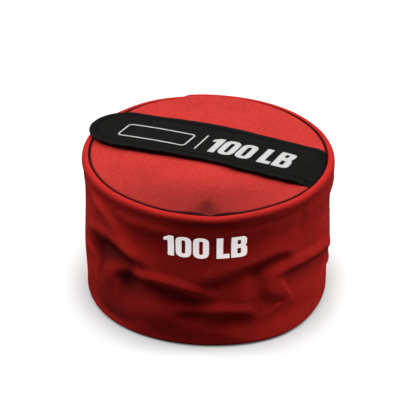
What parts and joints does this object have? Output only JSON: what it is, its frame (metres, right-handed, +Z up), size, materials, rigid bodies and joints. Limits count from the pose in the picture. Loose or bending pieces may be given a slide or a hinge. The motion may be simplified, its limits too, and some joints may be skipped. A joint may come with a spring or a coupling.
{
  "type": "sandbag trainer",
  "caption": "Low round sand-filled training bag of red cloth with a rolled rim, a zip across its top and a black hook-and-loop flap over the zip.",
  "frame": {"origin": "middle of the round base, on the floor", "axes": "+Z up; +X along the flap, from its free round tip to the end sewn into the rim"},
  "size_m": [0.4124, 0.4064, 0.2521],
  "materials": {
    "red_cloth": "matte",
    "seam_tape": "matte",
    "black_cloth": "matte",
    "zip_tape": "matte",
    "zip_coil": "satin",
    "zip_metal": "satin",
    "loop_tape": "matte",
    "hook_tape": "satin",
    "pull_cord": "matte",
    "grip_rubber": "matte",
    "liner_cloth": "matte",
    "tie_plastic": "satin",
    "sand": "matte",
    "white_print": "matte"
  },
  "bodies": {
    "bag": {"side_panel": "red_cloth", "side_seam_tape": "seam_tape", "top_panel": "red_cloth", "top_seam_binding": "seam_tape", "bottom_panel": "red_cloth", "bottom_reinforcement": "red_cloth", "bottom_seam_binding": "seam_tape", "zipper_tape_near": "zip_tape", "zipper_tape_far": "zip_tape", "zipper_coil_near": "zip_coil", "zipper_coil_far": "zip_coil", "zipper_top_stop_near": "zip_metal", "zipper_top_stop_far": "zip_metal", "zipper_bottom_stop": "zip_metal", "loop_tape_near": "loop_tape", "loop_tape_far": "loop_tape", "loop_tape_tip": "loop_tape", "flap_root": "black_cloth", "liner_bag": "liner_cloth", "liner_tie": "tie_plastic", "sand_fill": "sand"},
    "flap": {"flap_lower_ply": "black_cloth", "flap_upper_ply": "black_cloth", "hook_tape_near": "hook_tape", "hook_tape_far": "hook_tape", "hook_tape_tip": "hook_tape"},
    "slider": {"zipper_slider": "zip_metal", "zipper_pull_cord": "pull_cord", "zipper_pull_grip": "grip_rubber"}
  },
  "joints": [
    {"name": "flap_peel", "type": "hinge", "parent": "bag", "child": "flap", "pos_m": [0.155, 0.0135, 0.2524], "axis": [0, 1, 0], "range_deg": [0, 170]},
    {"name": "zipper_slide", "type": "slide", "parent": "bag", "child": "slider", "axis": [1, 0, 0], "range_m": [0, 0.255]}
  ]
}
